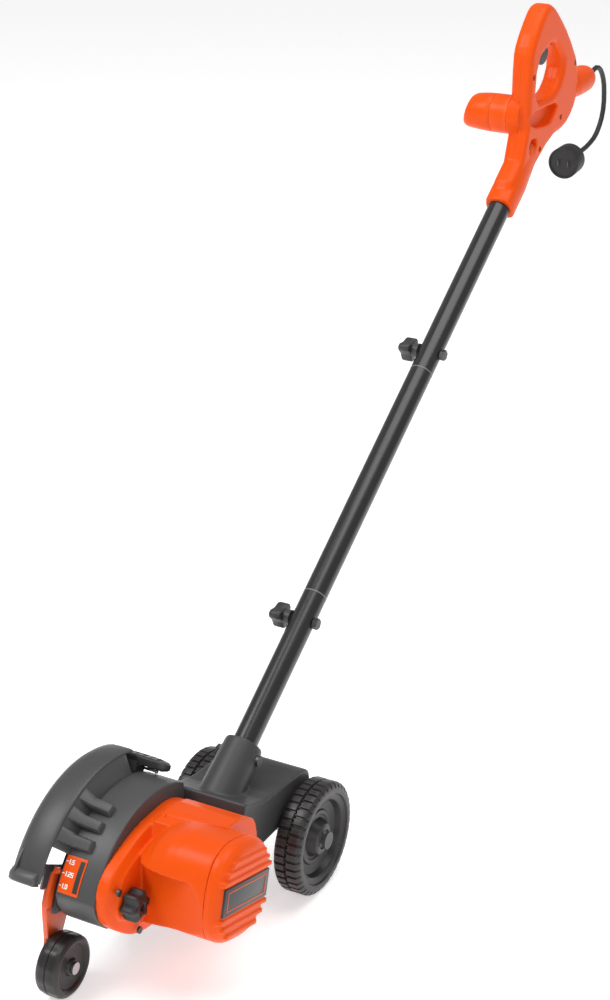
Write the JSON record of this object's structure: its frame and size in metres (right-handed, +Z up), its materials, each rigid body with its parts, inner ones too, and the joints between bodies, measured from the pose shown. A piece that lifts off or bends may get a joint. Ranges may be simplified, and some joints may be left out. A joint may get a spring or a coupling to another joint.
{
  "type": "lawn edger",
  "caption": "Corded walk-behind lawn edger: orange motor head with guarded edging blade, three wheels, depth lever, three-piece tube shaft and loop handle.",
  "frame": {"origin": "centre of the object's box, without the cord and plug, at ground level", "axes": "+X forward in the direction of travel, +Y to the machine's left (motor side), +Z up"},
  "size_m": [1.1717, 0.206, 0.767],
  "materials": {
    "orange_plastic": "gloss",
    "grey_plastic": "satin",
    "black_plastic": "satin",
    "wheel_plastic": "satin",
    "tube_paint": "gloss",
    "arm_paint": "gloss",
    "steel": "satin",
    "blade_steel": "satin",
    "brass": "satin",
    "copper": "satin",
    "cord_rubber": "satin",
    "belt_rubber": "matte"
  },
  "bodies": {
    "chassis": {"deck": "grey_plastic", "gear_case": "grey_plastic", "motor_housing": "orange_plastic", "motor_end_cap": "orange_plastic", "nameplate": "black_plastic", "depth_label": "orange_plastic", "blade_guard": "grey_plastic", "case_fins": "grey_plastic", "stator": "steel", "field_coils": "copper", "brush_holders": "brass", "motor_bearings": "steel", "spindle_bushes": "brass", "drive_belt": "belt_rubber", "rear_axle": "steel", "axle_caps": "black_plastic", "case_screws": "steel", "socket_bolt": "steel", "lower_tube": "tube_paint", "middle_tube": "tube_paint", "upper_tube": "tube_paint", "shaft_bolts": "steel", "inner_lead": "cord_rubber", "handle_left": "orange_plastic", "handle_right": "orange_plastic", "handle_screws": "steel", "aux_grip": "orange_plastic", "aux_cap": "orange_plastic", "switch": "black_plastic", "trigger_pin": "steel", "strain_relief": "cord_rubber", "power_cord": "cord_rubber", "plug": "cord_rubber", "plug_blades": "brass", "clamp_bolt": "steel"},
    "blade_spindle": {"spindle": "steel", "driven_pulley": "black_plastic", "blade_washers": "steel", "blade": "blade_steel", "blade_nut": "steel"},
    "armature": {"armature_shaft": "steel", "armature_core": "steel", "commutator": "copper", "fan": "black_plastic", "motor_pulley": "steel"},
    "left_wheel": {"rear_wheel_left": "wheel_plastic"},
    "right_wheel": {"rear_wheel_right": "wheel_plastic"},
    "depth_arm": {"depth_ring": "black_plastic", "detent_rod": "steel", "wheel_arm": "arm_paint", "front_axle": "steel"},
    "guide_wheel": {"front_wheel": "wheel_plastic"},
    "clamp_knob": {"depth_knob": "black_plastic"},
    "lower_knob": {"lower_shaft_knob": "black_plastic"},
    "upper_knob": {"upper_shaft_knob": "black_plastic"},
    "trigger_lever": {"trigger": "black_plastic"},
    "lock_off": {"lock_button": "black_plastic"}
  },
  "joints": [
    {"name": "spindle_spin", "type": "hinge", "parent": "chassis", "child": "blade_spindle", "pos_m": [0.42615, -0.056, 0.0635], "axis": [0, 1, 0], "continuous": true},
    {"name": "armature_spin", "type": "hinge", "parent": "chassis", "child": "armature", "pos_m": [0.45115, 0.024, 0.122], "axis": [0, 1, 0], "continuous": true},
    {"name": "left_wheel_spin", "type": "hinge", "parent": "chassis", "child": "left_wheel", "pos_m": [0.25615, 0.065, 0.05875], "axis": [0, 1, 0], "continuous": true},
    {"name": "right_wheel_spin", "type": "hinge", "parent": "chassis", "child": "right_wheel", "pos_m": [0.25615, -0.057, 0.05875], "axis": [0, 1, 0], "continuous": true},
    {"name": "depth_adjust", "type": "hinge", "parent": "chassis", "child": "depth_arm", "pos_m": [0.42615, -0.062, 0.0635], "axis": [0, 1, 0], "range_deg": [-6, 6]},
    {"name": "front_wheel_spin", "type": "hinge", "parent": "depth_arm", "child": "guide_wheel", "pos_m": [0.52045, -0.056, 0.0314], "axis": [0, 1, 0], "continuous": true},
    {"name": "clamp_knob_turn", "type": "hinge", "parent": "chassis", "child": "clamp_knob", "pos_m": [0.49715, 0.009, 0.106], "axis": [0, 1, 0], "range_deg": [0, 360]},
    {"name": "lower_knob_turn", "type": "hinge", "parent": "chassis", "child": "lower_knob", "pos_m": [0.16327, -0.022, 0.24405], "axis": [0, 1, 0], "range_deg": [0, 360]},
    {"name": "upper_knob_turn", "type": "hinge", "parent": "chassis", "child": "upper_knob", "pos_m": [-0.12711, -0.022, 0.43764], "axis": [0, 1, 0], "range_deg": [0, 360]},
    {"name": "trigger_pull", "type": "hinge", "parent": "chassis", "child": "trigger_lever", "pos_m": [-0.38685, 0.004, 0.714], "axis": [0, 1, 0], "range_deg": [0, 8], "stiffness_Nm_per_rad": 0.3, "springref_deg": -11.46},
    {"name": "lock_button_press", "type": "slide", "parent": "chassis", "child": "lock_off", "axis": [0, 1, 0], "range_m": [0, 0.003], "stiffness_N_per_m": 300, "springref_m": -0.002}
  ],
  "couplings": [
    {"joint": "armature_spin", "follows": "spindle_spin", "ratio": 4.2857}
  ]
}
